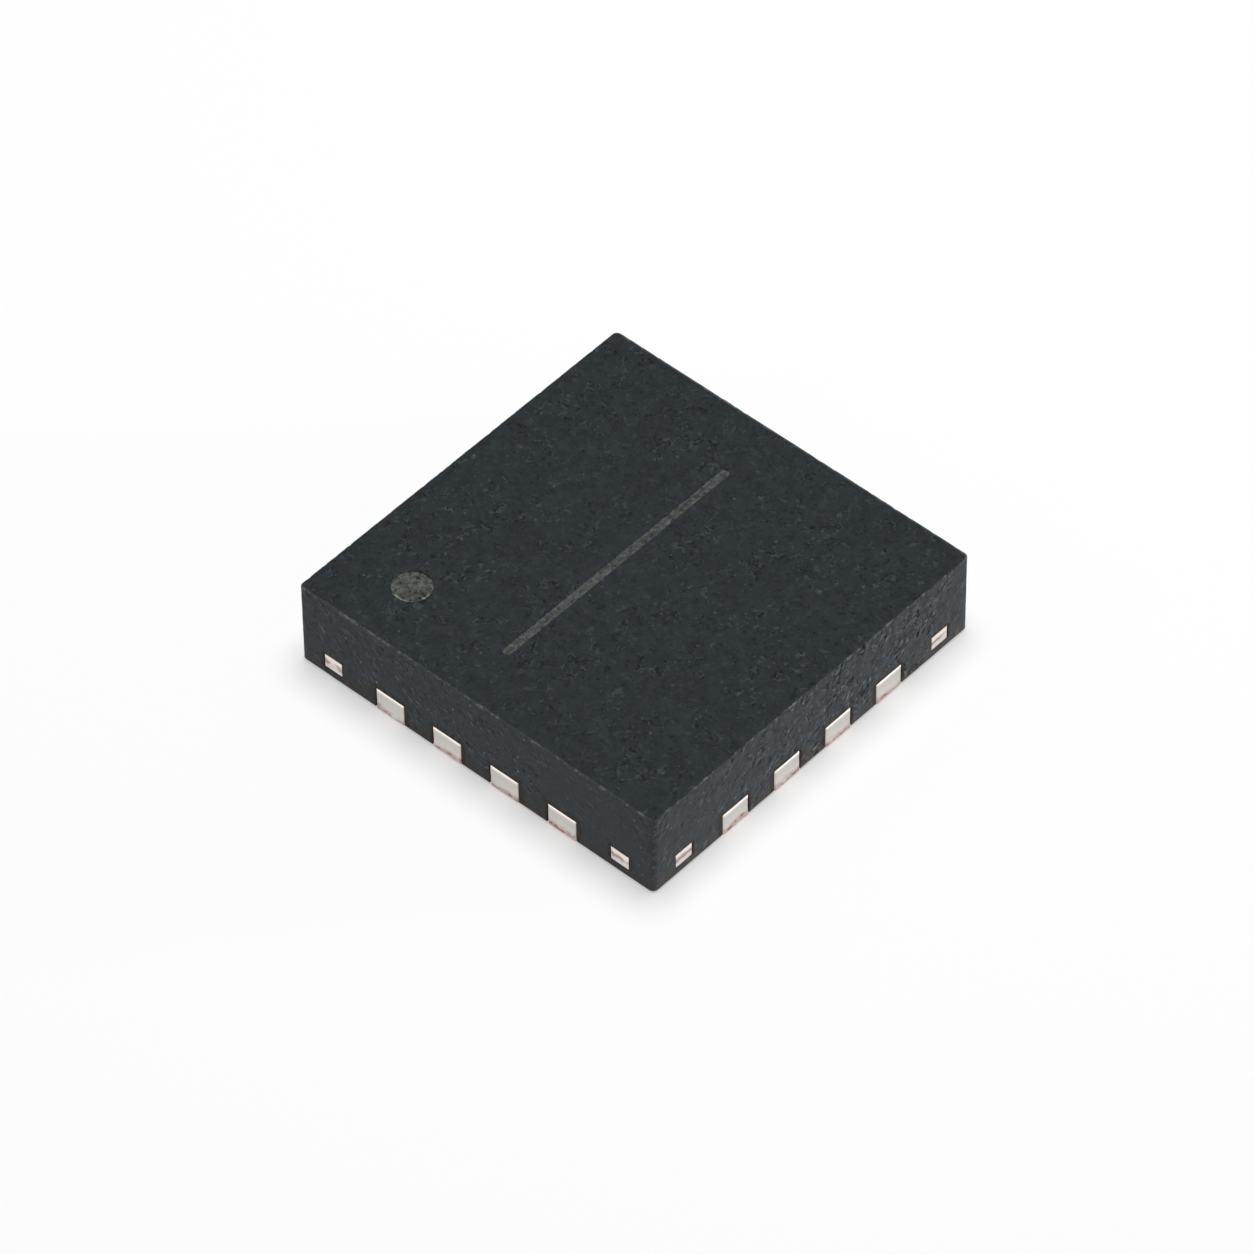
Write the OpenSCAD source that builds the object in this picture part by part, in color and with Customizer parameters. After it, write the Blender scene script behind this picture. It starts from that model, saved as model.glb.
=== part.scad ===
// Sixteen-lead flat no-lead chip package, sawn from a moulded strip.
// Z is up and zero at the solder lands; the part is centred on the origin.
// Seen from above with lead 1 at the top left, X runs to the right and the leads count anticlockwise.

/* [Moulding] */
// Width of the square moulded body, sawn face to sawn face
body_w = 4; // [3.9:0.05:5]
// Overall height, from the solder lands to the top face
overall_h = 0.9; // [0.85:0.01:1.2]
// Height of the moulded underside above the solder lands
standoff = 0.02; // [0.01:0.005:0.05]
// Radius worn on the moulding's top edges
edge_r = 0.03; // [0.01:0.005:0.04]
// Radius worn on the moulding's four upright corners
corner_r = 0.05; // [0.04:0.005:0.1]

/* [Lead 1 mark] */
// Diameter of the lasered dot beside lead 1
mark_d = 0.36; // [0.2:0.01:0.5]
// Depth of the lasered dot
mark_depth = 0.012; // [0.005:0.001:0.03]
// Distance of the dot's centre from the sawn face of lead 1
mark_inset_x = 0.63; // [0.4:0.01:0.9]
// Distance of the dot's centre from the next sawn face, beside lead 16
mark_inset_y = 0.72; // [0.4:0.01:0.9]

/* [Lead frame] */
// Thickness of the copper frame with its plating
frame_t = 0.25; // [0.2:0.01:0.3]
// Depth etched away from below under the lips, lead tips and tie bars
etch_depth = 0.1; // [0.06:0.01:0.14]
// Leads on each of the four sides
leads_per_side = 4; // [2:1:4]
// Distance between the centres of neighbouring leads
lead_pitch = 0.65; // [0.5:0.01:0.66]
// Width of a lead
lead_w = 0.32; // [0.2:0.01:0.4]
// Length of a lead's solder land, from its sawn end
land_l = 0.55; // [0.4:0.01:0.6]
// Reach of a lead's etched tip beyond its land
tip_l = 0.12; // [0.05:0.01:0.15]
// Gap between the lead tips and the lip of the exposed pad
pad_gap = 0.155; // [0.1:0.005:0.25]
// Chamfer on the pad corner next to lead 1
pad_chamfer = 0.3; // [0.2:0.01:0.4]
// Radius on the pad's corners
pad_corner_r = 0.08; // [0.02:0.01:0.1]
// Width of the etched lip round the pad
pad_lip = 0.1; // [0.05:0.01:0.12]
// Width of a tie bar and of the two prongs it forks into
tie_w = 0.2; // [0.12:0.01:0.24]

/* [Die] */
// Length of the silicon die, along X
die_l = 1.7; // [1.4:0.05:1.9]
// Width of the silicon die, along Y
die_w = 1.5; // [1.4:0.05:1.9]
// Thickness of the silicon die
die_t = 0.25; // [0.15:0.01:0.28]
// Thickness of the adhesive under the die
attach_t = 0.025; // [0.01:0.005:0.04]
// Border of adhesive that squeezes out round the die
attach_border = 0.06; // [0.02:0.01:0.1]

/* [Bond wires] */
// Diameter of a bond wire
wire_d = 0.03; // [0.02:0.005:0.05]
// Diameter of the ball bonded to the die
ball_d = 0.075; // [0.06:0.005:0.1]
// Height of the squashed ball, from the die to the neck of the wire
ball_h = 0.02; // [0.015:0.005:0.03]
// Height of the ball's upright side
ball_side_h = 0.014; // [0.008:0.001:0.014]
// Height to which the start of a wire's curve is drawn up above its ball
loop_rise = 0.24; // [0.15:0.01:0.26]
// Length of the stitch pressed flat on a lead
stitch_l = 0.08; // [0.04:0.01:0.1]
// Distance between the wires' balls along an edge of the die
ball_pitch = 0.32; // [0.2:0.01:0.35]
// Distance of a ball's centre from the edge of the die
ball_inset = 0.1; // [0.06:0.01:0.15]

/* [Hidden] */
half_w = body_w / 2;
lead_count = 4 * leads_per_side;
land_end = half_w - land_l;
tip_end = land_end - tip_l;
pad_w = 2 * (tip_end - pad_gap - pad_lip);
tie_at = (leads_per_side + 1) / 2 * lead_pitch;
attach_top = frame_t + attach_t;
die_top = attach_top + die_t;
cut_past = 0.2;
wire_sides = 8;
wire_steps = 8;
arrival_slope = 30;
arrival_share = 0.3;
round_fn = 48;
edge_fn = 24;
edge_steps = 4;

plastic = [0.2, 0.215, 0.225];
tin = [0.79, 0.775, 0.745];
silicon = [0.36, 0.37, 0.42];
adhesive = [0.62, 0.62, 0.6];
gold = [0.86, 0.7, 0.3];

function numbered(word, i) = str(word, i < 10 ? "_0" : "_", i);

// Leads count down the -X side first, then on round the package
function side_of(i) = floor((i - 1) / leads_per_side);
function places_from_middle(i) = (leads_per_side - 1) / 2 - (i - 1) % leads_per_side;
function die_half(i) = (side_of(i) % 2 == 0 ? die_l : die_w) / 2;

module on_side(i) {
    rotate([0, 0, 90 * side_of(i)]) children();
}

// A block with round corners, rounded over at the top and left sharp below
module sawn_block() {
    hull()
        for (step = [0:edge_steps]) {
            lean = 90 * step / edge_steps;
            inset = edge_r * (1 - cos(lean));
            top = overall_h - edge_r * (1 - sin(lean));
            translate([0, 0, standoff]) linear_extrude(top - standoff)
                offset(r = corner_r - inset, $fn = edge_fn) square(body_w - 2 * corner_r, center = true);
        }
}

module lead_1_mark() {
    translate([mark_inset_x - half_w, half_w - mark_inset_y, overall_h - mark_depth])
        cylinder(d = mark_d, h = mark_depth + cut_past, $fn = round_fn);
}

// Outline of a lead on the -X side, from outer_end inwards to a round tip at inner_end
module lead_outline(outer_end, inner_end) {
    round_at = inner_end + lead_w / 2;
    translate([-outer_end, -lead_w / 2]) square([outer_end - round_at, lead_w]);
    translate([-round_at, 0]) circle(d = lead_w, $fn = round_fn);
}

// The land at full thickness, with the etched tip reaching on above it
module lead_form(i, outer_end) {
    on_side(i) translate([0, places_from_middle(i) * lead_pitch, 0]) {
        linear_extrude(frame_t) lead_outline(outer_end, land_end);
        translate([0, 0, etch_depth])
            linear_extrude(frame_t - etch_depth) lead_outline(outer_end, tip_end);
    }
}

// Exposed face of the pad, with the chamfered corner beside lead 1
module pad_outline() {
    p = pad_w / 2;
    c = pad_chamfer;
    offset(r = pad_corner_r, $fn = edge_fn) offset(delta = -pad_corner_r)
        polygon([[p, p], [p, -p], [-p, -p], [-p, p - c], [c - p, p]]);
}

// A tie bar runs out on the diagonal and forks into a prong for each sawn face
module tie_bar_outline(outer_end) {
    rotate(45) translate([0, -tie_w / 2]) square([tie_at * sqrt(2), tie_w]);
    for (turn = [0, 1])
        mirror([turn, -turn])
            translate([tie_at - tie_w / 2, tie_at - tie_w / 2])
                square([outer_end - tie_at + tie_w / 2, tie_w]);
}

module die_pad_form(outer_end) {
    linear_extrude(frame_t) pad_outline();
    translate([0, 0, etch_depth]) linear_extrude(frame_t - etch_depth) {
        square(pad_w + 2 * pad_lip, center = true);
        for (corner = [0:3]) rotate(90 * corner) tie_bar_outline(outer_end);
    }
}

module plate(l, w, z, t) {
    translate([-l / 2, -w / 2, z]) cube([l, w, t]);
}

// Line of a bond wire on the -X side: ball on the die, a loop, and a flat stitch on the lead
function cubic(a, b, c, d, t) =
    pow(1 - t, 3) * a + 3 * pow(1 - t, 2) * t * b + 3 * (1 - t) * t * t * c + t * t * t * d;
function cubic_slope(a, b, c, d, t) =
    pow(1 - t, 2) * (b - a) + 2 * (1 - t) * t * (c - b) + t * t * (d - c);
function unit(v) = v / norm(v);

// A ring is its centre, the direction of the wire there, and its radius
function ring_points(ring, across) =
    let (lift = cross(ring[1], across))
    [for (k = [0:wire_sides - 1])
        let (turn = (k + 0.5) * 360 / wire_sides)
        ring[0] + ring[2] * (cos(turn) * across + sin(turn) * lift)];

function wire_rings(ball, stitch) =
    let (
        up = [0, 0, 1],
        run = [stitch.x - ball.x, stitch.y - ball.y, 0],
        ahead = unit(run),
        wire_r = wire_d / 2,
        neck = ball + up * ball_h,
        heel = stitch - ahead * stitch_l + up * wire_r * cos(180 / wire_sides),
        arrival = arrival_share * norm(run),
        pull_up = neck + up * loop_rise,
        pull_in = heel - ahead * arrival + up * arrival * tan(arrival_slope)
    )
    concat(
        [[ball, up, ball_d / 2], [ball + up * ball_side_h, up, ball_d / 2]],
        [for (k = [0:wire_steps - 1])
            let (t = k / wire_steps)
            [cubic(neck, pull_up, pull_in, heel, t),
             unit(cubic_slope(neck, pull_up, pull_in, heel, t)), wire_r]],
        [[heel, ahead, wire_r], [heel + ahead * stitch_l, ahead, wire_r]]
    );

module swept(rings, across) {
    last = len(rings) - 1;
    loop = [for (k = [0:wire_sides - 1]) k];
    points = [for (ring = rings) each ring_points(ring, across)];
    walls = [for (r = [0:last - 1], k = loop)
        let (here = r * wire_sides, next = here + wire_sides, k2 = (k + 1) % wire_sides)
        each [[here + k, next + k2, here + k2], [here + k, next + k, next + k2]]];
    first_cap = [for (k = loop) k];
    last_cap = [for (k = loop) last * wire_sides + wire_sides - 1 - k];
    polyhedron(points, concat([first_cap], walls, [last_cap]));
}

module bond_wire_form(i) {
    ball = [ball_inset - die_half(i), places_from_middle(i) * ball_pitch, die_top];
    stitch = [-(tip_end + lead_w / 2), places_from_middle(i) * lead_pitch, frame_t];
    ahead = unit([stitch.x - ball.x, stitch.y - ball.y, 0]);
    on_side(i) swept(wire_rings(ball, stitch), [-ahead.y, ahead.x, 0]);
}

module die_pad() {
    color(tin) die_pad_form(half_w);
}

module lead(i) {
    color(tin) lead_form(i, half_w);
}

module die_attach() {
    color(adhesive)
        plate(die_l + 2 * attach_border, die_w + 2 * attach_border, frame_t, attach_t);
}

module die() {
    color(silicon) plate(die_l, die_w, attach_top, die_t);
}

module bond_wire(i) {
    color(gold) bond_wire_form(i);
}

// The moulding fills every space round the frame, the die and the wires
module mold_body() {
    color(plastic) difference() {
        sawn_block();
        lead_1_mark();
        die_pad_form(half_w + cut_past);
        for (i = [1:lead_count]) lead_form(i, half_w + cut_past);
        die_attach();
        die();
        for (i = [1:lead_count]) bond_wire_form(i);
    }
}

mold_body();
die_pad();
die_attach();
die();
for (i = [1:lead_count]) {
    lead(i);
    bond_wire(i);
}
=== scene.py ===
import math

import bmesh
import bpy
from mathutils import Matrix, Vector


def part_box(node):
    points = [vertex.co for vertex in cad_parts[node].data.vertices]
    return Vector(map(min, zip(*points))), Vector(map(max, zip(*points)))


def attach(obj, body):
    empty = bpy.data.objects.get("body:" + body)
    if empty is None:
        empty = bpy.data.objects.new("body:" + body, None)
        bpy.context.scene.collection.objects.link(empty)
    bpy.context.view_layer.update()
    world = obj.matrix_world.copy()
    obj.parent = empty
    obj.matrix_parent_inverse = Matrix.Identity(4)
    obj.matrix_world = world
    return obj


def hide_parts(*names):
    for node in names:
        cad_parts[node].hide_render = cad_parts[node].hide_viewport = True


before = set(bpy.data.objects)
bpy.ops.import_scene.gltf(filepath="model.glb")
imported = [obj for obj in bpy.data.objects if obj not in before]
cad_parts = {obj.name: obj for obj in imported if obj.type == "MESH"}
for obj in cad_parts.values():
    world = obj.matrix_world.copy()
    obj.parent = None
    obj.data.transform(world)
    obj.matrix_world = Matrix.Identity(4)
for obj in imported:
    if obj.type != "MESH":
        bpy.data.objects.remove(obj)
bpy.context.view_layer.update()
mm = 0.001  # pieces are modelled in millimetres and brought to metres when they are finished
touching = 0.0005  # millimetres within which two places count as one
uprightRise = 0.01  # an edge that rises more than this counts as upright
weldGap = 0.00002  # doubles closer than this are merged
flatAngle, smoothAngle = 1, 35  # degrees: faces counted as one flat, and edges shaded smooth
bodyLow, bodyHigh = (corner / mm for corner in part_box("mold_body"))
leadLow, leadHigh = (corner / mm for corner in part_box("lead_01"))
padLow, padHigh = (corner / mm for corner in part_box("die_pad"))
halfBody = bodyHigh.x
topZ = bodyHigh.z
leadNames = sorted(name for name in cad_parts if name.startswith("lead_"))
wireNames = sorted(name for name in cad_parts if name.startswith("bond_wire_"))
print("frame loaded:", len(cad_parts), "nodes")


# Modelling helpers

def deselectAll():
    if bpy.context.object and bpy.context.object.mode != "OBJECT":
        bpy.ops.object.mode_set(mode="OBJECT")
    bpy.ops.object.select_all(action="DESELECT")


def makeActive(piece):
    deselectAll()
    piece.select_set(True)
    bpy.context.view_layer.objects.active = piece


def addBlock(name, low, high):
    deselectAll()
    low, high = Vector(low), Vector(high)
    bpy.ops.mesh.primitive_cube_add(size=1, location=(low + high) / 2, scale=high - low)
    block = bpy.context.object
    block.name = name
    bpy.ops.object.transform_apply(location=True, rotation=True, scale=True)
    return block


def startEdit(piece, action):  # edit mode, with everything selected or nothing
    makeActive(piece)
    bpy.ops.object.mode_set(mode="EDIT")
    bpy.ops.mesh.select_all(action=action)


def pickEdges(piece, test):  # test takes the two ends of an edge
    startEdit(piece, "DESELECT")
    bpy.ops.mesh.select_mode(type="EDGE")
    mesh = bmesh.from_edit_mesh(piece.data)
    for edge in mesh.edges:
        if test(edge.verts[0].co, edge.verts[1].co):
            edge.select_set(True)
    bmesh.update_edit_mesh(piece.data)


def pickFaces(piece, test):  # test takes a face's centre and normal
    startEdit(piece, "DESELECT")
    bpy.ops.mesh.select_mode(type="FACE")
    mesh = bmesh.from_edit_mesh(piece.data)
    for face in mesh.faces:
        if test(face.calc_center_median(), face.normal):
            face.select_set(True)
    bmesh.update_edit_mesh(piece.data)


def isUpright(a, b):  # the two ends of an edge
    return abs(a.z - b.z) > uprightRise


def bevelPicked(offset, segments):
    bpy.ops.mesh.bevel(offset=offset, segments=segments, affect="EDGES")


def applyModifier(piece, kind, settings):
    makeActive(piece)
    modifier = piece.modifiers.new(kind.lower(), kind)
    for key, value in settings.items():
        setattr(modifier, key, value)
    bpy.ops.object.modifier_apply(modifier=modifier.name)


def combine(piece, other, operation, solver="EXACT"):
    applyModifier(piece, "BOOLEAN", {"operation": operation, "solver": solver, "object": other})
    bpy.data.objects.remove(other)


def mergeDoubles(piece, distance=weldGap):
    startEdit(piece, "SELECT")
    bpy.ops.mesh.remove_doubles(threshold=distance)
    bpy.ops.mesh.normals_make_consistent(inside=False)
    bpy.ops.object.mode_set(mode="OBJECT")


def dissolveFlat(piece):
    startEdit(piece, "SELECT")
    bpy.ops.mesh.dissolve_limited(angle_limit=math.radians(flatAngle))
    bpy.ops.object.mode_set(mode="OBJECT")


def copyOf(piece, name, matrix):  # a copy with its own mesh, set in place
    copy = piece.copy()
    copy.data = piece.data.copy()
    copy.name = name
    bpy.context.scene.collection.objects.link(copy)
    copy.matrix_world = matrix
    makeActive(copy)
    bpy.ops.object.transform_apply(location=True, rotation=True, scale=True)
    return copy


def quarterTurn(turns):
    return Matrix.Rotation(math.radians(90 * turns), 4, "Z")


def cloudTexture(name, size, depth, stops=None):
    texture = bpy.data.textures.new(name, "CLOUDS")
    texture.noise_scale = size
    texture.noise_depth = depth
    if stops:
        texture.use_color_ramp = True
        for element, position, level in zip(texture.color_ramp.elements, stops, (0, 1)):
            element.position = position
            element.color = (level, level, level, 1)
    return texture


def finishPiece(piece, material, nodes):
    makeActive(piece)
    piece.scale = (mm, mm, mm)
    bpy.ops.object.transform_apply(location=True, rotation=True, scale=True)
    bpy.ops.object.shade_smooth_by_angle(angle=math.radians(smoothAngle))
    piece.data.materials.clear()
    piece.data.materials.append(material)
    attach(piece, "root")
    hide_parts(*nodes)


# Shader helpers

def shade(red, green, blue):  # screen values 0 to 255, made linear
    levels = (level / 255 for level in (red, green, blue))
    return (*(x / 12.92 if x < 0.04045 else ((x + 0.055) / 1.055) ** 2.4 for x in levels), 1)


class Link:  # a socket that takes part in Python expressions
    def __init__(self, finish, socket):
        self.finish = finish
        self.socket = socket

    def other(self, name):  # another output of the same node
        return Link(self.finish, self.socket.node.outputs[name])

    def maths(self, operation, other=0, flipped=False):
        pair = (other, self) if flipped else (self, other)
        return self.finish.node("ShaderNodeMath", {"operation": operation}, dict(enumerate(pair)))

    def __abs__(self):
        return self.maths("ABSOLUTE")

    def __add__(self, other):
        return self.maths("ADD", other)

    def __sub__(self, other):
        return self.maths("SUBTRACT", other)

    def __rsub__(self, other):
        return self.maths("SUBTRACT", other, True)

    def __mul__(self, other):
        return self.maths("MULTIPLY", other)

    __radd__ = __add__
    __rmul__ = __mul__


class Finish:
    def __init__(self, owner):  # a material or a world
        self.owner = owner
        owner.use_nodes = True
        self.tree = owner.node_tree
        self.tree.nodes.clear()

    def node(self, kind, settings, inputs, output=0):
        made = self.tree.nodes.new(kind)
        for key, value in settings.items():
            setattr(made, key, value)
        for key, value in inputs.items():
            if isinstance(value, Link):
                self.tree.links.new(value.socket, made.inputs[key])
            else:
                made.inputs[key].default_value = value
        return Link(self, made.outputs[output]) if made.outputs else None

    def place(self, stretch=(1, 1, 1)):  # object coordinates in millimetres
        coords = self.node("ShaderNodeTexCoord", {}, {}, "Object")
        scale = tuple(share / mm for share in stretch)
        return self.node("ShaderNodeVectorMath", {"operation": "MULTIPLY"}, {0: coords, 1: scale})

    def axes(self, place):
        x = self.node("ShaderNodeSeparateXYZ", {}, {0: place}, "X")
        return x, x.other("Y"), x.other("Z")

    def reach(self, across, along):  # distance from the point where both are 0
        spot = self.node("ShaderNodeCombineXYZ", {}, {0: across, 1: along, 2: 0})
        return self.node("ShaderNodeVectorMath", {"operation": "LENGTH"}, {0: spot}, "Value")

    def noise(self, place, scale, seed, detail=2, roughness=0.5, distortion=0):
        return self.node("ShaderNodeTexNoise", {"noise_dimensions": "4D"}, {
            "Vector": place, "W": seed, "Scale": scale, "Detail": detail, "Roughness": roughness,
            "Distortion": distortion})

    def ease(self, value, start, end):  # 0 at start, 1 at end, smooth between
        return self.node("ShaderNodeMapRange", {"interpolation_type": "SMOOTHSTEP"}, {
            "Value": value, "From Min": start, "From Max": end, "To Min": 0, "To Max": 1})

    def scaled(self, color, amount):
        return self.node("ShaderNodeVectorMath", {"operation": "SCALE"}, {0: color, "Scale": amount})

    def blend(self, amount, first, second):
        return self.node("ShaderNodeMix", {"data_type": "RGBA"}, {0: amount, 6: first, 7: second}, 2)

    def bump(self, height, distance):  # distance in millimetres
        return self.node("ShaderNodeBump", {}, {"Height": height, "Distance": distance * mm}, "Normal")

    def surface(self, inputs):
        shader = self.node("ShaderNodeBsdfPrincipled", {}, inputs)
        self.node("ShaderNodeOutputMaterial", {}, {"Surface": shader})
        return self.owner


def newFinish(name):
    return Finish(bpy.data.materials.new(name))


# Camera, light and floor

cameraView = {
    "azimuth": -47.587, "elevation": 47.558, "roll": -0.673,  # degrees
    "distance": 76.555, "slideRight": -0.0693, "slideUp": 0.1319,  # millimetres
    "focalPixels": 9020.6, "imageWidth": 1254, "sensor": 36,
}


def addCamera(view):
    a, e, r = (math.radians(view[key]) for key in ("azimuth", "elevation", "roll"))
    back = Vector((math.sin(a) * math.cos(e), -math.cos(a) * math.cos(e), math.sin(e)))
    level = Vector((math.cos(a), math.sin(a), 0))
    upright = back.cross(level)
    right = level * math.cos(r) + upright * math.sin(r)
    up = upright * math.cos(r) - level * math.sin(r)
    lens = bpy.data.cameras.new("camera")
    lens.sensor_width = view["sensor"]
    lens.lens = view["focalPixels"] / view["imageWidth"] * view["sensor"]
    lens.clip_start = mm
    camera = bpy.data.objects.new("camera", lens)
    bpy.context.scene.collection.objects.link(camera)
    spot = (back * view["distance"] + right * view["slideRight"] + up * view["slideUp"]) * mm
    camera.matrix_world = Matrix.Translation(spot) @ Matrix((right, up, back)).transposed().to_4x4()
    bpy.context.scene.camera = camera


studio = {
    "skyLight": 0.13,
    "floorColor": (0.985, 0.985, 0.985, 1), "floorGlow": 0.42, "floorSize": 2000, "floorGap": 0.001,
    # direction towards each lamp, its distance in millimetres, half its spread in degrees, and the light
    # that falls on a surface facing it, where 1 shows a white surface as white
    "lamps": {
        "overheadSoftbox": {"towards": (0.11, 0.042, 0.99), "distance": 80, "spread": 18, "light": 0.857},
        "rightSoftbox": {"towards": (0.739, -0.673, 0.012), "distance": 80, "spread": 4, "light": 0.70},
        "leftSoftbox": {"towards": (-0.71, 0.46, 0.48), "distance": 80, "spread": 7, "light": 0.015},
    },
}


def addLamp(name, lamp):
    light = bpy.data.lights.new(name, "AREA")
    light.shape = "DISK"
    light.size = 2 * lamp["distance"] * math.tan(math.radians(lamp["spread"])) * mm
    brightness = lamp["light"] / math.sin(math.radians(lamp["spread"])) ** 2
    light.energy = brightness * math.pi * math.pi * (light.size / 2) ** 2
    holder = bpy.data.objects.new(name, light)
    bpy.context.scene.collection.objects.link(holder)
    towards = Vector(lamp["towards"]).normalized()
    holder.location = towards * lamp["distance"] * mm
    holder.rotation_euler = towards.to_track_quat("Z", "Y").to_euler()
    holder.visible_camera = False


def shownRays(finish):  # 1 for rays that show the background as it is: seen, mirrored or through glass
    seen = finish.node("ShaderNodeLightPath", {}, {}, "Is Camera Ray")
    mirrored = seen.maths("MAXIMUM", seen.other("Is Glossy Ray"))
    return mirrored.maths("MAXIMUM", seen.other("Is Transmission Ray"))


def addWorld():
    sky = Finish(bpy.data.worlds.new("studio"))
    strength = shownRays(sky) * (1 - studio["skyLight"]) + studio["skyLight"]
    light = sky.node("ShaderNodeBackground", {}, {"Color": (1, 1, 1, 1), "Strength": strength})
    sky.node("ShaderNodeOutputWorld", {}, {"Surface": light})
    bpy.context.scene.world = sky.owner


def addFloor():
    deselectAll()
    bpy.ops.mesh.primitive_plane_add(size=studio["floorSize"] * mm, location=(0, 0, -studio["floorGap"] * mm))
    floor = bpy.context.object
    floor.name = "floor"
    paper = newFinish("paperFloor")
    matte = paper.node("ShaderNodeBsdfDiffuse", {}, {"Color": studio["floorColor"]})
    glow = paper.node("ShaderNodeEmission", {}, {"Color": (1, 1, 1, 1), "Strength": 1})
    amount = shownRays(paper) * studio["floorGlow"]
    shader = paper.node("ShaderNodeMixShader", {}, {0: amount, 1: matte, 2: glow})
    paper.node("ShaderNodeOutputMaterial", {}, {"Surface": shader})
    floor.data.materials.append(paper.owner)


bpy.context.scene.view_settings.view_transform = "Standard"
addCamera(cameraView)
addWorld()
addFloor()
for lampName, lampSettings in studio["lamps"].items():
    addLamp(lampName, lampSettings)
print("camera, lamps and floor set")


# Lead frame: the leads, and the die pad with its tie bars

leadShape = {
    "pitch": 0.65, "landLength": 0.55, "etchDepth": 0.10, "proud": 0.005,
    "tipSegments": 12, "tipRound": 0.9999,  # share of half the width; a full half would pinch the tip
    "pocketGap": 0.006, "gapAbove": 0.6,  # the gap over a lead is this share of the gap beside it
    "endBevel": 0.023, "endSegments": 3, "landBevel": 0.008, "landSegments": 2,
    "endDepth": 0.04, "endCuts": 7, "sawRipple": 0.007, "rippleSize": 0.05, "rippleDetail": 2,
    "flatFoot": 0.002,  # the ripple stays above this
}
padShape = {
    "width": 2.15, "lip": 0.10, "chamfer": 0.30, "cornerRadius": 0.08, "cornerSegments": 5,
    "tieWidth": 0.20, "tieCentre": 1.625, "tieTop": 0.25, "tieBottom": 0.10,
    "pocketGap": 0.006, "proud": 0.003, "endBevel": 0.010, "endSegments": 2,
}
cutPast = 0.2  # millimetres that the pocket cutters run past the sides
cutBelow = 4  # pocket gaps that they run below the frame


def roundTip(block, endX, radius):
    pickEdges(block, lambda a, b: isUpright(a, b) and min(a.x, b.x) > endX - touching)
    bpy.ops.mesh.bevel(offset=radius, segments=leadShape["tipSegments"], affect="EDGES", clamp_overlap=False)
    mergeDoubles(block)


def leadSolid(name, grow, outerX):  # a lead on the -X side, centred on the X axis
    halfWidth = (leadHigh.y - leadLow.y) / 2 + grow
    top = leadHigh.z + grow * leadShape["gapAbove"]
    landEnd = leadLow.x + leadShape["landLength"] + grow
    tipEnd = leadHigh.x + grow
    bottom = leadLow.z - grow * cutBelow
    land = addBlock(name, (outerX, -halfWidth, bottom), (landEnd, halfWidth, top))
    roundTip(land, landEnd, halfWidth * leadShape["tipRound"])
    tip = addBlock("tip", (outerX, -halfWidth, leadShape["etchDepth"] - grow), (tipEnd, halfWidth, top))
    roundTip(tip, tipEnd, halfWidth * leadShape["tipRound"])
    combine(land, tip, "UNION")
    mergeDoubles(land)
    return land


def finishLeadEnd(lead, endX):
    dissolveFlat(lead)
    pickEdges(lead, lambda a, b: max(a.x, b.x) < endX + touching)
    bevelPicked(leadShape["endBevel"], leadShape["endSegments"])
    pickEdges(lead, lambda a, b: max(a.z, b.z) < touching and min(a.x, b.x) > endX + touching)
    bevelPicked(leadShape["landBevel"], leadShape["landSegments"])
    pickFaces(lead, lambda centre, normal: centre.x < endX + leadShape["endDepth"])
    bpy.ops.mesh.subdivide(number_cuts=leadShape["endCuts"])
    makeActive(lead)


def rippleLeadEnd(lead):  # after placing, so that no two ends are alike
    ends = lead.vertex_groups.new(name="sawnEnd")
    for vert in lead.data.vertices:
        outward = max(abs(vert.co.x), abs(vert.co.y)) - (halfBody - leadShape["endDepth"])
        if outward > 0 and vert.co.z > leadShape["flatFoot"]:
            ends.add([vert.index], min(1, outward / leadShape["endDepth"]), "REPLACE")
    applyModifier(lead, "DISPLACE", {
        "texture": sawRipple, "texture_coords": "LOCAL", "vertex_group": "sawnEnd",
        "strength": leadShape["sawRipple"], "mid_level": 0.5})
    lead.vertex_groups.clear()


def padSolid(name, grow, reach):
    half = padShape["width"] / 2 + grow
    pad = addBlock(name, (-half, -half, padLow.z - grow * cutBelow), (half, half, padHigh.z + grow))
    pickEdges(pad, lambda a, b: isUpright(a, b) and a.x < 0 < a.y)
    bevelPicked(padShape["chamfer"], 1)
    pickEdges(pad, lambda a, b: isUpright(a, b) and min(abs(a.x), abs(a.y)) > half - touching)
    bevelPicked(padShape["cornerRadius"], padShape["cornerSegments"])
    low, high = padShape["tieBottom"] - grow, padShape["tieTop"] + grow
    wide = half + padShape["lip"]
    combine(pad, addBlock("lip", (-wide, -wide, low), (wide, wide, high)), "UNION")
    halfTie = padShape["tieWidth"] / 2 + grow
    near, far = padShape["tieCentre"] - halfTie, padShape["tieCentre"] + halfTie
    for corner in range(4):
        bar = addBlock("bar", (0, -halfTie, low), (padShape["tieCentre"] * math.sqrt(2), halfTie, high))
        bar.matrix_world = quarterTurn(corner + 0.5)
        combine(pad, bar, "UNION")
        for prong in (addBlock("prong", (near, near, low), (reach, far, high)),
                      addBlock("prong", (near, near, low), (far, reach, high))):
            prong.matrix_world = quarterTurn(corner)
            combine(pad, prong, "UNION")
    mergeDoubles(pad)
    return pad


def finishPadEnds(pad, reach):
    dissolveFlat(pad)
    atEnd = reach - touching
    pickEdges(pad, lambda a, b: min(abs(a.x), abs(b.x)) > atEnd or min(abs(a.y), abs(b.y)) > atEnd)
    bevelPicked(padShape["endBevel"], padShape["endSegments"])
    makeActive(pad)


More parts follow.
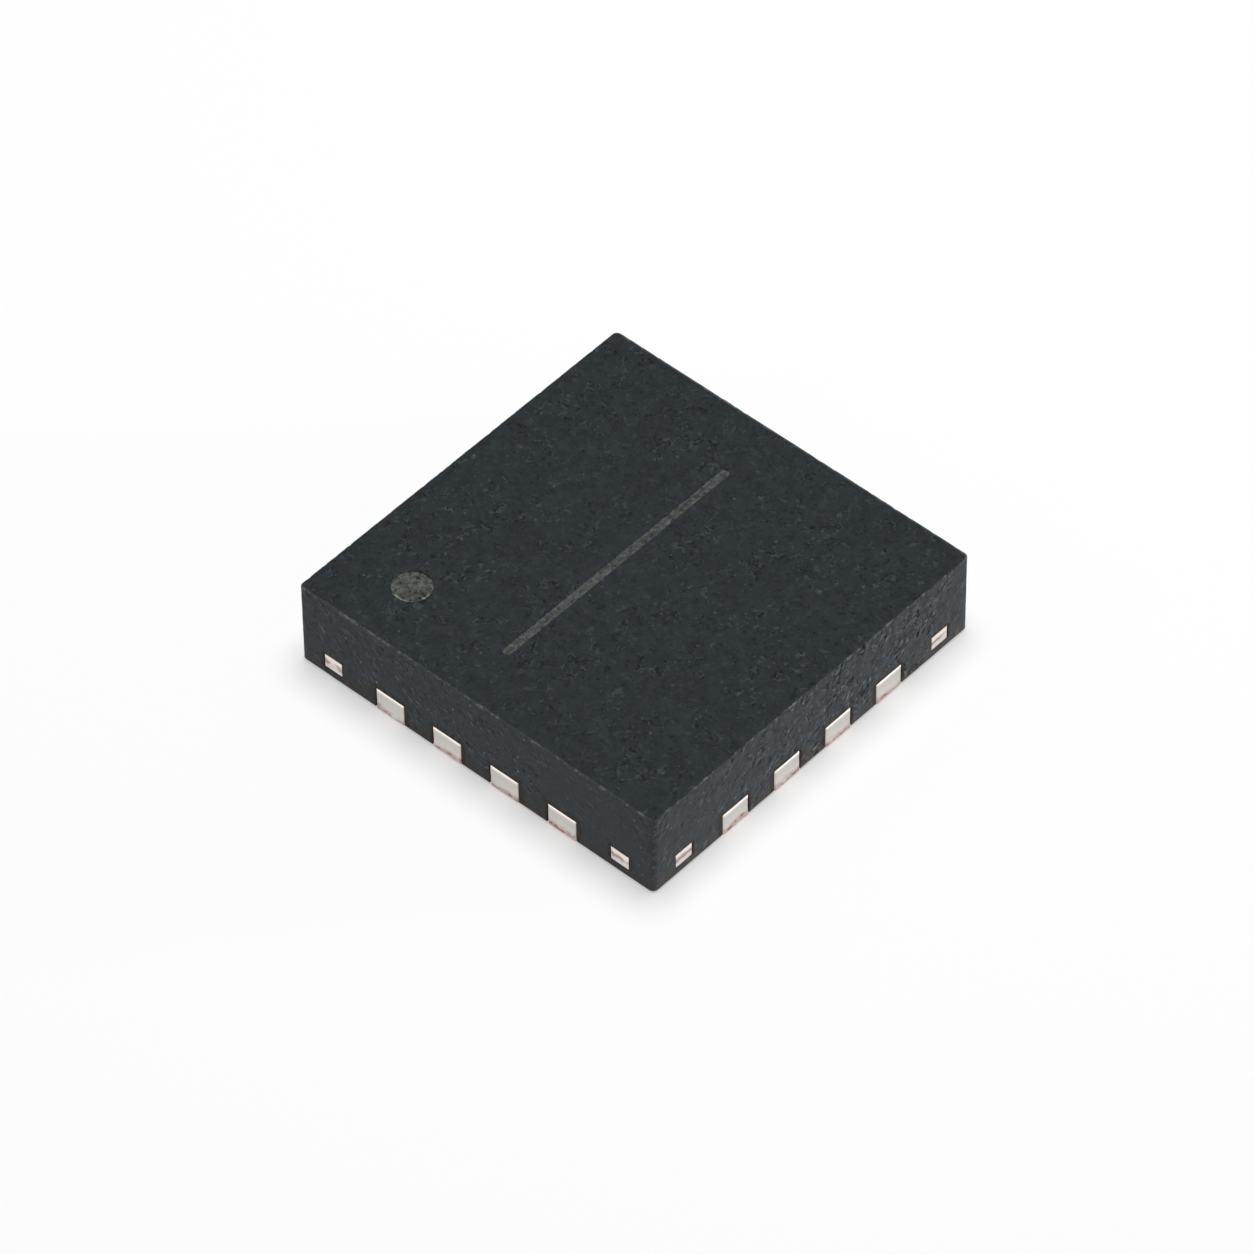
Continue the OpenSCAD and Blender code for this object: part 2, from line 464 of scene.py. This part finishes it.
sawRipple = cloudTexture("sawRipple", leadShape["rippleSize"], leadShape["rippleDetail"])
leadEnd = leadLow.x - leadShape["proud"]
leadCutter = leadSolid("leadCutter", leadShape["pocketGap"], leadLow.x - cutPast)
leadModel = leadSolid("leadModel", 0, leadEnd)
finishLeadEnd(leadModel, leadEnd)
padCutter = padSolid("padCutter", padShape["pocketGap"], halfBody + cutPast)
padPiece = padSolid("diePadWithTieBars", 0, padHigh.x + padShape["proud"])
finishPadEnds(padPiece, padHigh.x + padShape["proud"])

leadPieces = {}
pockets = [padCutter]
for name in leadNames:
    low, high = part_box(name)
    middle = (low + high) / 2 / mm
    turns = round(math.degrees(math.atan2(-middle.y, -middle.x)) / 90) % 4
    along = (quarterTurn(-turns) @ middle).y
    spot = quarterTurn(turns) @ Matrix.Translation((0, along, 0))
    pockets.append(copyOf(leadCutter, "pocket", spot))
    leadPieces[name] = copyOf(leadModel, name.replace("lead_", "tinnedLead_"), spot)
    rippleLeadEnd(leadPieces[name])
bpy.data.objects.remove(leadCutter)
bpy.data.objects.remove(leadModel)
print("lead frame modelled:", len(leadPieces), "leads")


# Moulded body

moldShape = {
    "cornerRadius": 0.05, "cornerSegments": 5, "edgeRadius": 0.011, "edgeSegments": 2,
    "longEdge": 0.5, "longCuts": 149, "heightCuts": 31,  # edges longer than longEdge are cut up
    "grainSize": 0.16, "grainDetail": 1, "grainHeight": 0.002,
    "chipSize": 0.05, "chipDetail": 2, "chipDepth": 0.005, "chipReach": 0.022, "chipStops": (0.54, 0.74),
    "wireWeld": 0.0002,
}
laserMarks = {
    "dotCentre": (-1.37, 1.28), "dotRadius": 0.18, "dotDepth": 0.012, "dotSides": 72,
    "ruleCentre": (-0.015, 0.18), "ruleLength": 2.81, "ruleWidth": 0.085, "ruleDepth": 0.006,
    "ruleRound": 0.999, "ruleSegments": 8, "cutAbove": 0.05,
}


def sawnBlock(shape):
    block = addBlock("moldedBody", bodyLow, bodyHigh)
    pickEdges(block, isUpright)
    bevelPicked(shape["cornerRadius"], shape["cornerSegments"])
    pickEdges(block, lambda a, b: min(a.z, b.z) > topZ - touching)
    bevelPicked(shape["edgeRadius"], shape["edgeSegments"])
    inner = halfBody - shape["cornerRadius"]
    for facing in (Vector((1, 0, 0)), Vector((0, 1, 0))):
        for offset in (-inner, inner):
            bpy.ops.mesh.select_all(action="SELECT")
            bpy.ops.mesh.bisect(plane_co=facing * offset, plane_no=facing)
    for axis, cuts in ((0, shape["longCuts"]), (1, shape["longCuts"]), (2, shape["heightCuts"])):
        pickEdges(block, lambda a, b: abs(a[axis] - b[axis]) > shape["longEdge"])
        bpy.ops.mesh.subdivide(number_cuts=cuts)
    pickFaces(block, lambda centre, normal: normal.z < -0.9)  # the underside stays one face
    bpy.ops.mesh.dissolve_faces()
    makeActive(block)
    return block


def weatherBlock(block, shape):
    applyModifier(block, "DISPLACE", {
        "texture": cloudTexture("skinGrain", shape["grainSize"], shape["grainDetail"]),
        "texture_coords": "LOCAL", "strength": shape["grainHeight"], "mid_level": 0.5})
    edges = block.vertex_groups.new(name="wornEdges")
    reach = shape["chipReach"]
    for vert in block.data.vertices:
        depths = sorted((halfBody - abs(vert.co.x), halfBody - abs(vert.co.y), topZ - vert.co.z))
        if depths[1] < reach:  # close to two faces at once
            edges.add([vert.index], min(1, 2 - 2 * depths[1] / reach), "REPLACE")
    applyModifier(block, "DISPLACE", {
        "texture": cloudTexture("edgeChips", shape["chipSize"], shape["chipDetail"], shape["chipStops"]),
        "texture_coords": "LOCAL", "vertex_group": "wornEdges",
        "strength": -shape["chipDepth"], "mid_level": 0})
    block.vertex_groups.clear()


def markCutters(marks):
    deselectAll()
    above = marks["cutAbove"]
    x, y = marks["dotCentre"]
    bpy.ops.mesh.primitive_cylinder_add(
        vertices=marks["dotSides"], radius=marks["dotRadius"], depth=marks["dotDepth"] + above,
        location=(x, y, topZ + (above - marks["dotDepth"]) / 2))
    dot = bpy.context.object
    bpy.ops.object.transform_apply(location=True, rotation=True, scale=True)
    x, y = marks["ruleCentre"]
    halfLength, halfWidth = marks["ruleLength"] / 2, marks["ruleWidth"] / 2
    rule = addBlock("rule", (x - halfLength, y - halfWidth, topZ - marks["ruleDepth"]),
                    (x + halfLength, y + halfWidth, topZ + above))
    pickEdges(rule, isUpright)
    bevelPicked(halfWidth * marks["ruleRound"], marks["ruleSegments"])
    return [dot, rule]


def innerCutters():  # room for the die, its adhesive and the wires
    cutters = []
    for name in ("die_attach", "die"):
        low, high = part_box(name)
        cutters.append(addBlock(name + "Room", low / mm, high / mm))
    for name in wireNames:
        room = copyOf(bpy.data.objects[name], name + "Room", Matrix.Scale(1 / mm, 4))
        mergeDoubles(room, moldShape["wireWeld"])
        cutters.append(room)
    return cutters


moldPiece = sawnBlock(moldShape)
weatherBlock(moldPiece, moldShape)
for cutter in pockets + markCutters(laserMarks) + innerCutters():
    combine(moldPiece, cutter, "DIFFERENCE", "MANIFOLD")
print("body moulded:", len(moldPiece.data.polygons), "faces")


# Mould compound

moldLook = {
    "greenish": (0.74, 1.0, 1.06, 1), "bluish": (0.77, 0.98, 1.15, 1), "topTone": 0.0206, "topBase": 0.95,
    "sawn": (0.85, 1.0, 1.11, 1), "foot": (1.23, 1.19, 1.15, 1), "sideTone": 0.0560,
    "sideBase": 0.92, "paler": 0.12,  # paler by this towards the foot
    # the first two entries on the next line colour the edge line, partly wear and partly a painted highlight
    "worn": (0.88, 1.0, 1.06), "wornTone": 0.075, "specular": 0.10,
    "roughness": 0.62, "roughnessSpread": 0.2, "bumpDepth": 0.03, "topBump": 0.25,
    "pebbleStretch": (1, 1, 0.6),
}
moldNoise = {  # scale, seed, detail, roughness
    "blotches": (8, 1, 2, 0.5), "mottle": (24, 2, 3, 0.6), "grain": (60, 3, 2, 0.6),
    "clusters": (3.5, 12, 1, 0.5), "sawCut": (15, 15, 1, 0.5), "scored": (5, 16, 1, 0.5),
    "cast": (7, 8, 1, 0.5), "beads": (14, 7, 3, 0.65), "pebbles": (16, 17, 1, 0.4),
    "fray": (40, 9, 2, 0.5), "burn": (22, 10, 3, 0.65),
}
moldSteps = {  # noise levels where each pattern starts and is full
    # the last two entries on the next line place the painted highlight and painted shade of the saw marks
    "clusters": (0.40, 0.60), "scored": (0.47, 0.58), "sawLipHighlight": (0.58, 0.68), "sawGrooveShade": (0.42, 0.32),
    "cast": (0.35, 0.65), "beads": (0.47, 0.64),
}
moldReach = {  # millimetres where each effect starts and is full
    "sideInset": (0.010, 0.004), "sideTop": (topZ - 0.002, topZ - 0.008), "facing": (-0.01, 0.01),
    "nearCorner": (-2.3, -3.1), "endCorner": (3.4, 3.9), "smoothFoot": (0.14, 0.36),
    "foot": (0.22, 0.06), "paler": (0.58, 0.30), "topEdge": (0.030, 0.010), "upright": (0.020, 0.033),
}
# the dark pit spots are painted shade of small hollows
moldSpots = {"specks": (11, 5, 0.18, 0.05), "pitShade": (17, 6, 0.25, 0.06)}  # scale, seed, radius, share
spotLook = {"core": 0.4, "fade": 0.01}
topRelief = {"blotches": 1.15, "mottle": 1.4, "grain": 0.9, "hairs": 1.25, "specks": 2.2, "pitShade": -0.8}
sideRelief = {"blotches": 0.9, "mottle": 0.8, "grain": 0.3, "hairs": 0.9, "sawMarks": 1.25, "specks": 3.6,
              "pitShade": -1.0}
scratchLook = {
    "long": (9, 4, 0.055), "short": (16, 14, 0.08),  # scale, seed, width
    "cover": 0.44, "patchScale": 1.5, "patchSeed": 5, "patchFade": 0.06,
    # the lip and groove entries on the next line set a painted highlight and painted shade
    "bend": 0.7, "apart": 0.9, "core": 0.3, "lip": 0.85, "shadedGroove": 0.5, "clustered": 0.6,
}
sawLook = {
    "up": 0.75, "along": 0.6, "squeeze": 1.9, "drift": 0.3,  # the slant of the saw marks
    "shadedGroove": 0.6, "keen": 1.5, "rakingShadeLoss": 0.83,  # two sides get weaker mottling and bumps; the stronger mottling on the other two is partly painted shade from raking light
    "handled": 0.5, "footLoss": 0.25,  # two corners and the foot are rubbed smoother
    "pebbles": 0.3, "scoredPebbles": 0.8, "scoredCuts": 0.7,
}
wornLook = {
    # the edge line is partly wear and partly a painted highlight
    "narrow": 2, "bare": 0.5, "upright": 0.5,  # the line is half as wide on the two sides with stronger mottling
    "beads": 1.6, "fewerBeads": 0.8, "base": 0.7, "xSideBase": 0.2,
}
# painted shade of the gaps around the leads and tie bars, tinted brown
gapShadeLook = {
    "color": (0.044, 0.032, 0.023, 1), "strength": 0.9, "sideShift": 0.012, "ragged": 0.11, "overLead": 0.75,
    "leadReach": (0.060, 0.022), "leadRow": (1.40, 1.36), "tieReach": (0.040, 0.016), "tieFoot": (0.08, 0.14),
}
markLook = {
    "dot": (0.069, 0.074, 0.065, 1), "rule": (0.064, 0.071, 0.068, 1), "base": 0.84,
    "fray": 0.03, "edge": (0.006, -0.004), "floor": (topZ - 0.03, topZ - 0.02), "ruleZone": (0.06, 0.03),
    "rimInset": 0.012, "rimReach": (0.018, 0.003), "rimBreaks": (-0.04, 0.08), "rim": 1.6, "ruleRim": 0.25,
    # the first three entries on the next line make a painted highlight on the front side of the dot's rim
    "rimLightReach": (0.12, -0.12), "rimLightRise": 0.9, "rimLightBase": 0.4, "burn": 4.6, "ruleCalm": 1.6, "grain": 1.8,
}


def spots(finish, place, scale, seed, radius, share):  # round spots in a share of the cells
    moved = finish.node("ShaderNodeVectorMath", {"operation": "ADD"}, {0: place, 1: (seed, seed, seed)})
    cell = finish.node("ShaderNodeTexVoronoi", {}, {"Vector": moved, "Scale": scale}, "Distance")
    chance, _, _ = finish.axes(cell.other("Color"))
    bare = 1 - share
    drawn = finish.ease(chance, bare, bare + spotLook["fade"])
    return finish.ease(cell, radius, radius * spotLook["core"]) * drawn


def scratches(finish, place, scale, seed, width):  # short and curved, each a painted highlight on a lip beside painted shade in a groove
    look = scratchLook
    line = finish.noise(place, scale, seed, 1, 0.5, look["bend"]) - 0.5
    lip = finish.ease(abs(line - width * look["apart"]), width, width * look["core"])
    shadedGroove = finish.ease(abs(line + width * look["apart"]), width, width * look["core"])
    patch = finish.noise(place, scale * look["patchScale"], seed + look["patchSeed"], 1)
    bare = 1 - look["cover"]
    return (lip * look["lip"] - shadedGroove * look["shadedGroove"]) * finish.ease(patch, bare, bare + look["patchFade"])


def weighted(layers, weights):
    parts = [layers[name] * weight for name, weight in weights.items()]
    return sum(parts[1:], parts[0])


def frameGapShade(finish, along, z, mottle):  # painted shade: a dark brown line in the gaps around the sawn leads and tie bars
    pitch = leadShape["pitch"]
    ragged = mottle * gapShadeLook["ragged"]  # the painted shade's uneven border
    shifted = (along + gapShadeLook["sideShift"]) * (1 / pitch)  # the painted shade is shifted one way along the side
    fromLead = abs(shifted.maths("FRACT") - 0.5) * pitch - (leadHigh.y - leadLow.y) / 2
    overLead = (z - leadHigh.z) * gapShadeLook["overLead"]
    aroundLead = finish.ease(fromLead.maths("MAXIMUM", overLead) + ragged, *gapShadeLook["leadReach"])
    aroundLead = aroundLead * finish.ease(abs(along), *gapShadeLook["leadRow"])
    fromTie = abs(abs(along) - padShape["tieCentre"]) - padShape["tieWidth"] / 2
    tieMiddle = (padShape["tieTop"] + padShape["tieBottom"]) / 2
    aboveTie = abs(z - tieMiddle) - (padShape["tieTop"] - tieMiddle)
    aroundTie = finish.ease(fromTie.maths("MAXIMUM", aboveTie) + ragged, *gapShadeLook["tieReach"])
    aroundTie = aroundTie * finish.ease(z, *gapShadeLook["tieFoot"])
    return aroundLead.maths("MAXIMUM", aroundTie)


def laserBurn(finish, place, layers):  # where the laser marks are, and their colour
    x, y, z = finish.axes(place)
    look = markLook
    dotX, dotY = laserMarks["dotCentre"]
    ruleX, ruleY = laserMarks["ruleCentre"]
    ruleHalf = laserMarks["ruleWidth"] / 2
    ruleEnd = laserMarks["ruleLength"] / 2 - ruleHalf
    dotRoom = finish.reach(x - dotX, y - dotY) - laserMarks["dotRadius"]
    beyond = (abs(x - ruleX) - ruleEnd).maths("MAXIMUM", 0)
    ruleRoom = finish.reach(beyond, y - ruleY) - ruleHalf
    fray = (finish.noise(place, *moldNoise["fray"]) - 0.5) * look["fray"]
    border = dotRoom.maths("MINIMUM", ruleRoom) + fray  # below zero inside a mark
    marked = finish.ease(border, *look["edge"]) * finish.ease(z, *look["floor"])
    onRule = finish.ease(ruleRoom, *look["ruleZone"])
    rim = finish.ease(abs(border + look["rimInset"]), *look["rimReach"])
    rim = rim * finish.ease(layers["mottle"], *look["rimBreaks"])
    rimLight = finish.ease(x + y - (dotX + dotY), *look["rimLightReach"])  # painted highlight: the rim is brighter on the side of the dot towards the front corner
    rimLight = rimLight * look["rimLightRise"] + look["rimLightBase"]
    rim = rim * (rimLight + onRule * (look["ruleRim"] - rimLight))
    burn = finish.noise(place, *moldNoise["burn"]) - 0.5
    tone = burn * (look["burn"] - onRule * look["ruleCalm"]) + layers["grain"] * look["grain"]
    tone = tone + rim * look["rim"] + look["base"]
    return marked, finish.scaled(finish.blend(onRule, look["dot"], look["rule"]), tone)


def moldFinish():
    finish = newFinish("moldCompound")
    place = finish.place()
    x, y, z = finish.axes(place)
    acrossX, acrossY = abs(x), abs(y)
    radius = moldShape["cornerRadius"]
    outX = (acrossX + radius - halfBody).maths("MAXIMUM", 0)
    outY = (acrossY + radius - halfBody).maths("MAXIMUM", 0)
    inset = radius - finish.reach(outX, outY)  # depth in from the sawn sides
    side = finish.ease(inset, *moldReach["sideInset"]) * finish.ease(z, *moldReach["sideTop"])
    onX = finish.ease(acrossX - acrossY, *moldReach["facing"])  # the two sides with weaker mottling; the stronger mottling on the other two is partly painted shade from raking light
    pattern = {name: finish.ease(finish.noise(place, *moldNoise[name]), *moldSteps[name])
               for name in ("clusters", "scored", "cast", "beads")}
    scored, beads = pattern["scored"], pattern["beads"]

    layers = {name: finish.noise(place, *moldNoise[name]) - 0.5 for name in ("blotches", "mottle", "grain")}
    hairs = scratches(finish, place, *scratchLook["long"]) + scratches(finish, place, *scratchLook["short"])
    evenly = 1 - scratchLook["clustered"]
    layers["hairs"] = hairs * (pattern["clusters"] * scratchLook["clustered"] + evenly)
    for name, settings in moldSpots.items():
        layers[name] = spots(finish, place, *settings)
    slant = finish.node("ShaderNodeCombineXYZ", {}, {  # saw marks run up the sides at a slant
        0: (z * sawLook["up"] - (x + y) * sawLook["along"]) * sawLook["squeeze"],
        1: z * sawLook["along"] + (x + y) * sawLook["up"], 2: z * sawLook["drift"]})
    # saw marks: a painted highlight on each lip and painted shade in each groove, over real bumps from the
    # same cuts
    cut = finish.noise(slant, *moldNoise["sawCut"])
    sawGrooveShade = finish.ease(cut, *moldSteps["sawGrooveShade"]) * sawLook["shadedGroove"]
    layers["sawMarks"] = (finish.ease(cut, *moldSteps["sawLipHighlight"]) - sawGrooveShade) * scored
    handled = finish.ease(x + y, *moldReach["nearCorner"])
    handled = handled.maths("MAXIMUM", finish.ease(x - y, *moldReach["endCorner"]))
    keen = (sawLook["keen"] - onX * sawLook["rakingShadeLoss"]) * (1 - handled * sawLook["handled"])
    keen = (finish.ease(z, *moldReach["smoothFoot"]) * sawLook["footLoss"] + (1 - sawLook["footLoss"])) * keen

    topColor = finish.blend(pattern["cast"], moldLook["greenish"], moldLook["bluish"])
    topTone = (weighted(layers, topRelief) + moldLook["topBase"]) * moldLook["topTone"]
    sideColor = finish.blend(finish.ease(z, *moldReach["foot"]), moldLook["sawn"], moldLook["foot"])
    paler = finish.ease(z, *moldReach["paler"]) * moldLook["paler"] + moldLook["sideBase"]
    sideTone = (weighted(layers, sideRelief) * keen + paler) * moldLook["sideTone"]
    color = finish.blend(side, finish.scaled(topColor, topTone), finish.scaled(sideColor, sideTone))

    # painted highlight: a lighter line along the top edges and upright corners, partly real wear
    topEdge = finish.ease(inset * (wornLook["narrow"] - onX) + abs(z - topZ), *moldReach["topEdge"])
    topEdge = topEdge * (beads * (1 - wornLook["bare"]) + wornLook["bare"])
    upright = finish.ease(outX.maths("MINIMUM", outY), *moldReach["upright"])
    worn = topEdge.maths("MAXIMUM", upright * side * beads * wornLook["upright"])
    wornTone = beads * (wornLook["beads"] - onX * wornLook["fewerBeads"]) + wornLook["base"]
    wornTone = (wornTone + onX * wornLook["xSideBase"]) * moldLook["wornTone"]
    color = finish.blend(worn, color, finish.scaled(moldLook["worn"], wornTone))

    along = x + onX * (y - x)  # along whichever side this is
    # painted shade: a dark brown line in the gaps around the leads and tie bars
    gapShade = frameGapShade(finish, along, z, layers["mottle"]) * side
    color = finish.blend(gapShade * gapShadeLook["strength"], color, gapShadeLook["color"])
    marked, markColor = laserBurn(finish, place, layers)
    color = finish.blend(marked, color, markColor)

    pebbles = finish.noise(finish.place(moldLook["pebbleStretch"]), *moldNoise["pebbles"]) - 0.5
    sideBumps = pebbles * (scored * sawLook["scoredPebbles"] + sawLook["pebbles"])
    sideBumps = (sideBumps + (cut - 0.5) * scored * sawLook["scoredCuts"]) * keen
    topBumps = pebbles * moldLook["topBump"]
    return finish.surface({
        "Base Color": color, "Specular IOR Level": moldLook["specular"],
        "Roughness": layers["grain"] * moldLook["roughnessSpread"] + moldLook["roughness"],
        "Normal": finish.bump(topBumps + side * (sideBumps - topBumps), moldLook["bumpDepth"])})


# Metals, and the pieces inside

tinLook = {
    # the upper colour on the next line is painted shade: the sawn end darker towards its top
    "dull": shade(206, 203, 197), "bright": shade(230, 227, 221), "upper": shade(200, 198, 193),
    # the first colour on the next line, for the upper edge, is partly a burnished burr and partly a painted
    # highlight
    "burnishAndHighlight": shade(233, 229, 221), "smear": shade(194, 167, 158), "copper": shade(158, 100, 89),
    # the foot colour on the next line is a painted shadow where the lead meets the floor
    "foot": shade(160, 142, 134),
    "upperShare": 0.6, "smearShare": 0.8, "copperShare": 0.85, "footShare": 0.6,
    "sawnDepth": (0.012, 0.002), "burnishAndHighlightDepth": (0.028, 0.016),  # in from the end, down from the top
    "upperReach": (0.10, 0.20), "footReach": (0.035, 0.0), "copperLevel": 0.035, "waver": 0.16,
    "smearReach": (0.065, 0.015), "smearBreaks": (0.34, 0.54),
    "copperReach": (0.028, 0.006), "copperBreaks": (0.46, 0.58),
    "roughness": 0.24, "roughnessSpread": 0.2, "smearRoughness": 0.15,
    "scratchStretch": (5, 5, 70), "grainBump": 0.5, "bumpDepth": 0.0015,
}
tinNoise = {  # scale, seed, detail, roughness
    "grain": (30, 1, 3, 0.6), "scratches": (1, 2, 2, 0.5), "waver": (7, 3, 2, 0.5),
    "smear": (9, 4, 2, 0.5), "copper": (16, 5, 2, 0.5),
}
tieBarLook = {
    "dull": shade(232, 224, 224), "bright": shade(244, 239, 240), "streak": shade(164, 138, 126),
    "upper": shade(245, 230, 218), "streakLevel": 0.182, "streakReach": (0.036, 0.010), "streakShare": 0.85,
    "streakBreaks": (0.30, 0.52), "upperReach": (0.204, 0.228), "waver": 0.08,
    "roughness": 0.24, "roughnessSpread": 0.2, "bumpDepth": 0.0012,
}
tieBarNoise = {"grain": (34, 1, 3, 0.6), "waver": (11, 2, 2, 0.5), "streak": (9, 3, 2, 0.5)}
siliconLook = {
    "dark": shade(84, 88, 104), "pale": shade(112, 112, 126), "blockScale": 9, "metallic": 0.6,
    "roughness": 0.22, "roughnessSpread": 0.1,
}
adhesiveLook = {
    "dark": shade(128, 127, 124), "pale": shade(190, 189, 184), "flakes": (60, 1, 3, 0.7), "metallic": 0.35,
    "roughness": 0.8, "flakeGloss": 0.4, "bumpDepth": 0.002,
}
goldLook = {
    "deep": shade(222, 178, 92), "bright": shade(240, 204, 122), "drawn": (80, 1, 2, 0.5),
    "roughness": 0.18, "roughnessSpread": 0.15,
}


def tinFinish():
    finish = newFinish("sawnTin")
    look = tinLook
    place = finish.place()
    x, y, z = finish.axes(place)
    outward = abs(x).maths("MAXIMUM", abs(y))
    sawn = finish.ease(outward, *(halfBody - depth for depth in look["sawnDepth"]))
    grain = finish.noise(place, *tinNoise["grain"])
    lines = finish.noise(finish.place(look["scratchStretch"]), *tinNoise["scratches"]) - 0.5
    level = z + (finish.noise(place, *tinNoise["waver"]) - 0.5) * look["waver"]
    band = abs(level - look["copperLevel"])
    smear = finish.ease(finish.noise(place, *tinNoise["smear"]), *look["smearBreaks"])
    smear = finish.ease(band, *look["smearReach"]) * smear * sawn
    copper = finish.ease(finish.noise(place, *tinNoise["copper"]), *look["copperBreaks"])
    copper = finish.ease(band, *look["copperReach"]) * copper * sawn
    burnishAndHighlight = finish.ease(z, *(leadHigh.z - depth for depth in look["burnishAndHighlightDepth"]))  # the upper edge: partly a burnished burr, partly a painted highlight
    # painted shade: the sawn end grows darker towards its top
    upper = finish.ease(z, *look["upperReach"]) * sawn
    # painted shadow: the sawn end darkens at its foot, next to the floor
    foot = finish.ease(z, *look["footReach"]) * sawn
    color = finish.blend(grain, look["dull"], look["bright"])
    color = finish.blend(upper * look["upperShare"], color, look["upper"])
    color = finish.blend(burnishAndHighlight, color, look["burnishAndHighlight"])
    color = finish.blend(smear * look["smearShare"], color, look["smear"])
    color = finish.blend(copper * look["copperShare"], color, look["copper"])
    color = finish.blend(foot * look["footShare"], color, look["foot"])
    roughness = grain * look["roughnessSpread"] + look["roughness"] + smear * look["smearRoughness"]
    return finish.surface({
        "Base Color": color, "Metallic": 1, "Roughness": roughness,
        "Normal": finish.bump(grain * look["grainBump"] + lines * sawn, look["bumpDepth"])})


def tieBarFinish():
    finish = newFinish("sawnTieBar")
    look = tieBarLook
    place = finish.place()
    _, _, z = finish.axes(place)
    grain = finish.noise(place, *tieBarNoise["grain"])
    level = z + (finish.noise(place, *tieBarNoise["waver"]) - 0.5) * look["waver"]
    broken = finish.ease(finish.noise(place, *tieBarNoise["streak"]), *look["streakBreaks"])
    streak = finish.ease(abs(level - look["streakLevel"]), *look["streakReach"]) * broken
    color = finish.blend(grain, look["dull"], look["bright"])
    color = finish.blend(streak * look["streakShare"], color, look["streak"])
    color = finish.blend(finish.ease(level, *look["upperReach"]), color, look["upper"])
    return finish.surface({
        "Base Color": color, "Metallic": 1, "Roughness": grain * look["roughnessSpread"] + look["roughness"],
        "Normal": finish.bump(grain, look["bumpDepth"])})


def siliconFinish():
    finish = newFinish("sawnSilicon")
    look = siliconLook
    blocks = finish.node("ShaderNodeTexVoronoi", {"distance": "CHEBYCHEV"}, {
        "Vector": finish.place(), "Scale": look["blockScale"]}, "Color")
    tint, _, _ = finish.axes(blocks)
    return finish.surface({
        "Base Color": finish.blend(tint, look["dark"], look["pale"]), "Metallic": look["metallic"],
        "Roughness": tint * look["roughnessSpread"] + look["roughness"]})


def adhesiveFinish():
    finish = newFinish("dieAdhesive")
    look = adhesiveLook
    flakes = finish.noise(finish.place(), *look["flakes"])
    return finish.surface({
        "Base Color": finish.blend(flakes, look["dark"], look["pale"]), "Metallic": look["metallic"],
        "Roughness": look["roughness"] - flakes * look["flakeGloss"],
        "Normal": finish.bump(flakes, look["bumpDepth"])})


def goldFinish():
    finish = newFinish("goldWire")
    look = goldLook
    drawn = finish.noise(finish.place(), *look["drawn"])
    return finish.surface({
        "Base Color": finish.blend(drawn, look["deep"], look["bright"]), "Metallic": 1,
        "Roughness": drawn * look["roughnessSpread"] + look["roughness"]})


def coverNode(name, material):  # a CAD node that stays as it is
    for slot in bpy.data.objects[name].material_slots:
        slot.material = material


finishPiece(moldPiece, moldFinish(), ["mold_body"])
finishPiece(padPiece, tieBarFinish(), ["die_pad"])
tin = tinFinish()
for name, lead in leadPieces.items():
    finishPiece(lead, tin, [name])
coverNode("die", siliconFinish())
coverNode("die_attach", adhesiveFinish())
gold = goldFinish()
for name in wireNames:
    coverNode(name, gold)
print("finishes set")
